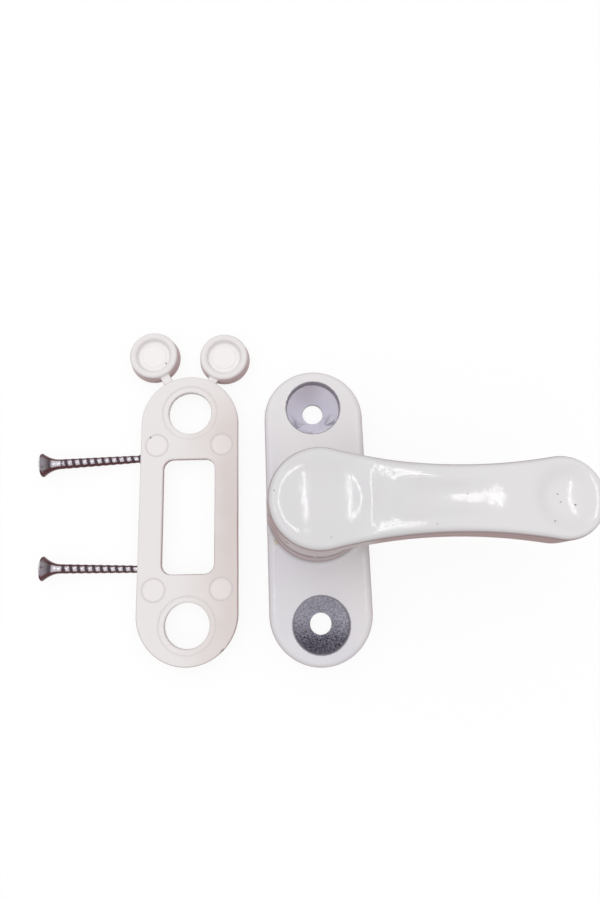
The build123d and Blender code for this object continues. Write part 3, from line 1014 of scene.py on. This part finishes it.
def mouldedPlastic(name, settings, shape):
    material, place, facing = newSurface(name)
    own = addNode(material, "Mapping", {"Vector": place, "Location": shape["place"],
                                        "Rotation": (0, 0, math.radians(shape["turn"]))},
                  vector_type="TEXTURE").outputs[0]
    x, y, z = split(material, own)
    up = split(material, facing)[2]
    upright = ramp(material, up, *settings["sideFacing"], curve="SMOOTHSTEP")
    haze = noise(material, place, settings["hazeSize"])
    # painted shade on the side towards the plate
    rightShade = calc(material, "MULTIPLY_ADD", haze, settings["rightShadeWander"], x)
    rightShade = ramp(material, rightShade, *settings["rightShadeSpan"])
    rightShade = calc(material, "MULTIPLY", rightShade, ramp(material, y, *settings["rightShadeFade"]))
    color = blend(material, rightShade, settings["color"], settings["rightShadeColor"])
    # painted light in the middle and a painted shade ring over each peg, for the sink marks
    fold = addNode(material, "CombineXYZ", {"X": calc(material, "ABSOLUTE", x),
                                            "Y": calc(material, "ABSOLUTE", y)}).outputs[0]
    away = vectorMath(material, "DISTANCE", fold, (shape["pegX"], shape["pegY"], 0)).outputs["Value"]
    middle = ramp(material, away, *settings["middleSpan"])
    color = blend(material, middle, color, settings["sinkLightColor"])
    for capX, capY in shape["capPlaces"]:
        reach = vectorMath(material, "DISTANCE", own, (capX, capY, shape["capHeight"])).outputs["Value"]
        color = blend(material, ramp(material, reach, *settings["capSpan"]), color, settings["capColor"])
    ring = ramp(material, gap(material, away, settings["sinkRadius"]), *settings["sinkSpan"])
    color = blend(material, ring, color, settings["sinkShadeColor"])
    # walls: painted shade and reddish reflection, the hole walls left white
    bore = vectorMath(material, "DISTANCE", fold, (0, shape["holeY"], 0)).outputs["Value"]
    bore = ramp(material, bore, *settings["boreSpan"])
    wallShadeColor = blend(material, bore, settings["sideColor"], settings["boreColor"])
    # painted shade on the edges on the far side from the light
    far = ramp(material, calc(material, "SUBTRACT", y, x), 0, settings["farSpan"])
    far = calc(material, "MULTIPLY", far, ramp(material, up, *settings["edgeFacing"]))
    far = calc(material, "MULTIPLY", far, calc(material, "SUBTRACT", 1.0, bore))
    color = blend(material, far, color, settings["edgeShadeColor"])
    color = blend(material, upright, color, wallShadeColor)
    flat = vectorMath(material, "MULTIPLY", place, (1, 1, 0)).outputs["Vector"]
    # specks of dirt, and painted shade at the two burrs
    for (speckX, speckY), radius in settings["specks"].values():
        away = vectorMath(material, "DISTANCE", flat, (speckX, speckY, 0)).outputs["Value"]
        color = blend(material, ramp(material, away, radius, 0.4 * radius), color, settings["speckColor"])
    return finishSurface(material, {
        "Base Color": color,
        "Roughness": ramp(material, haze, 0, 1, *settings["roughness"]),
        "Specular IOR Level": ramp(material, upright, 0, 1, settings["gloss"], settings["sideGloss"]),
        "Normal": bumped(material, noise(material, place, settings["sheenBump"]), settings["bumpHeight"])})


# Metals: each is one steel or nylon surface with a tint that drifts, a grain and a scatter of wear.
def worked(name, color, wornColor, metallic, roughness, grainSize, stretch, height):
    material, place, facing = newSurface(name)
    place = addNode(material, "Mapping", {"Vector": place, "Scale": stretch}, vector_type="POINT").outputs[0]
    grain = noise(material, place, grainSize, 4.0, 0.6)
    drift = noise(material, place, 12 * grainSize)
    worn = ramp(material, calc(material, "MULTIPLY", grain, drift), 0.2, 0.36)
    return finishSurface(material, {
        "Base Color": blend(material, worn, color, wornColor), "Metallic": metallic,
        "Roughness": ramp(material, grain, 0.3, 0.7, roughness - 0.07, roughness + 0.1),
        "Normal": bumped(material, grain, height)})


# Blackened steel wire, cold-headed and rolled: a dark oily gloss, with painted highlights between
# the threads, on the neck, the head and its rim, and painted shade and reddish reflection down the sides
screwSteelSettings = {
    "darkColor": "#4C4248",
    # the colour of the painted highlights
    "brightColor": "#D2CDD4",
    # painted shade and reddish reflection down the sides
    "sideShadeColor": "#58383A",
    "sideShadeFacing": (0.4, 0.66),  # how far the surface faces sideways
    "roughness": (0.14, 0.32),
    # how much of the painted highlight the grain lets show
    "highlightShare": (0.3, 0.7, 0.75, 1.0),
    "grainSize": 0.4,  # mm
    "grainHeight": 0.0012,
}


def highlightedSteel(name, settings):
    material, place, facing = newSurface(name)
    grain = noise(material, place, settings["grainSize"], 4.0)
    # painted highlights, read from the screw's attribute and broken up by the grain
    highlightMask = addNode(material, "Attribute", {}, attribute_name="bright").outputs["Fac"]
    bright = calc(material, "MULTIPLY", highlightMask, ramp(material, grain, *settings["highlightShare"]))
    color = blend(material, bright, settings["darkColor"], settings["brightColor"])
    # painted shade and reddish reflection on the sideways faces
    side = calc(material, "ABSOLUTE", split(material, facing)[1])
    side = ramp(material, side, *settings["sideShadeFacing"], curve="SMOOTHSTEP")
    return finishSurface(material, {
        "Base Color": blend(material, side, color, settings["sideShadeColor"]), "Metallic": 1.0,
        "Roughness": ramp(material, grain, 0, 1, *settings["roughness"]),
        "Normal": bumped(material, grain, settings["grainHeight"])})


screwSteel = highlightedSteel("rolled blackened steel wire", screwSteelSettings)
# Hardened spring strip, pressed and tempered: blue-grey, satin, with a fine rolling grain
springSteel = worked("tempered spring steel strip", "#7C7F88", "#9C9CA4", 1, 0.34, 0.3, (1, 6, 6), 0.003)
# Zinc-plated steel, stamped or turned: pale, with a soft bluish bloom
platedSteel = worked("zinc plated steel", "#A9ABB0", "#C6C8CE", 1, 0.3, 0.35, (1, 1, 4), 0.003)
# Natural nylon, moulded: milky, satin, faintly cloudy
nylon = worked("moulded natural nylon", "#DDD8CA", "#E9E5DA", 0, 0.42, 0.8, (1, 1, 1), 0.006)

carriedOver = {  # pieces that keep their solids
    "thrust_washer": nylon,
    "disc_spring_upper": springSteel,
    "disc_spring_lower": springSteel,
    "retaining_washer": platedSteel,
    "pivot_screw": platedSteel,
}
for name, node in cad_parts.items():
    node.data.materials.clear()
    node.data.materials.append(carriedOver.get(name, platedSteel))
print("hidden hardware dressed")

leverEnamel = enamel("stove enamel on die-cast zinc", enamelSettings, leverMarks, leverRuns, leverCreaseShade)
plateEnamel = enamelWithWells("stove enamel with bare zinc countersinks", {**enamelSettings, **plateTints},
                              zincSettings, baseSettings["holeY"])
plastic = mouldedPlastic("moulded white polypropylene", plasticSettings, spacerSettings)
finishPiece(makeLever(leverSettings), "lever", "painted_zinc", leverEnamel, "lever")
print("lever made")
finishPiece(makeBase(baseSettings), "base", "painted_zinc", plateEnamel, "base_plate")
print("base plate made")
finishPiece(makeSpacer(spacerSettings), "base", "white_plastic", plastic, "spacer")
print("spacer made")
for name, (place, turn, shank, phase) in screwSettings["screws"].items():
    screw = makeScrew(name, place, turn, shank, phase, screwSettings)
    finishPiece(screw, "base", "screw_steel", screwSteel, name)
print("screws made")
